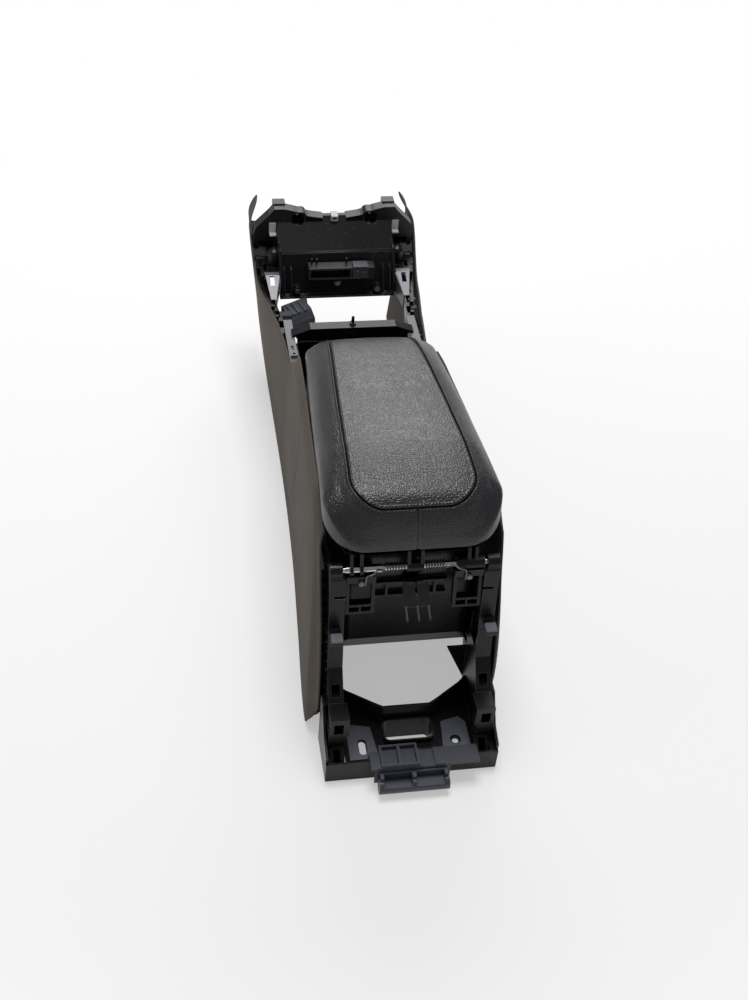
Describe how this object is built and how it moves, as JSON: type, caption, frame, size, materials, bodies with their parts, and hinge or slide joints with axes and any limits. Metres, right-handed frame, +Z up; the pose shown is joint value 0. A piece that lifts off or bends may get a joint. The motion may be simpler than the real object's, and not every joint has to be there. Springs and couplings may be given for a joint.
{
  "type": "car floor console with armrest lid",
  "caption": "Removed car floor console: curved side panels, open front frame, storage bin and a long padded armrest lid on a sprung rear hinge",
  "frame": {"origin": "on the floor, under the middle of the console's outline", "axes": "+Y to the front of the car, +X to its right, +Z up"},
  "size_m": [0.2626, 0.95, 0.3665],
  "materials": {
    "panel_plastic": "fine grained, warm grey",
    "panel_dark": "fine grained, dark warm grey",
    "black_plastic": "moulded, slightly glossy black",
    "pale_steel": "zinc plated",
    "grey_plastic": "moulded grey",
    "blue_grey_plastic": "moulded blue grey",
    "rubber": "matt",
    "felt": "pressed felt",
    "shaft_steel": "ground",
    "spring_steel": "oiled dark spring wire",
    "leather": "pebbled, satin charcoal",
    "lining": "short flock"
  },
  "bodies": {
    "console": {"side_panel_front_left": "panel_plastic", "side_panel_front_right": "panel_dark", "side_panel_rear_left": "panel_plastic", "side_panel_rear_right": "panel_dark", "front_frame": "black_plastic", "front_clips": "pale_steel", "gusset_plate_left": "pale_steel", "gusset_plate_right": "pale_steel", "module_carrier": "black_plastic", "control_module": "grey_plastic", "cable_bracket": "blue_grey_plastic", "front_screws": "pale_steel", "bridge_bar": "black_plastic", "cup_well_liner": "black_plastic", "side_rail_left": "grey_plastic", "side_rail_right": "grey_plastic", "storage_bin": "black_plastic", "bin_mat": "rubber", "lid_bumpers": "rubber", "latch_striker": "pale_steel", "rear_post_left": "black_plastic", "rear_post_right": "black_plastic", "rear_wall": "black_plastic", "rear_platform": "black_plastic", "floor_plates": "pale_steel", "felt_pad_left": "felt", "felt_pad_right": "felt", "air_duct": "black_plastic", "rear_tray": "blue_grey_plastic", "rear_socket": "blue_grey_plastic", "hinge_bracket_left": "black_plastic", "hinge_bracket_right": "black_plastic", "bracket_screws": "pale_steel", "hinge_shaft": "shaft_steel", "hinge_tube_left": "shaft_steel", "torsion_spring_left": "spring_steel", "torsion_spring_right": "spring_steel", "rear_hook_plate": "grey_plastic"},
    "lid": {"lid_pad": "leather", "lid_core": "black_plastic", "lid_inner_cover": "lining", "lid_hinge_arm_left": "black_plastic", "lid_hinge_arm_right": "black_plastic", "lid_spring_knuckle": "black_plastic", "lid_screws": "pale_steel", "latch_pin": "pale_steel", "latch_spring": "pale_steel"},
    "latch": {"latch_lever": "black_plastic"}
  },
  "joints": [
    {"name": "lid_hinge", "type": "hinge", "parent": "console", "child": "lid", "pos_m": [0, -0.333, 0.27], "axis": [1, 0, 0], "range_deg": [0, 80]},
    {"name": "latch_pivot", "type": "hinge", "parent": "lid", "child": "latch", "pos_m": [0, 0.04455, 0.29781], "axis": [1, 0, 0], "range_deg": [0, 12], "stiffness_Nm_per_rad": 0.05, "springref_deg": -8.59}
  ]
}
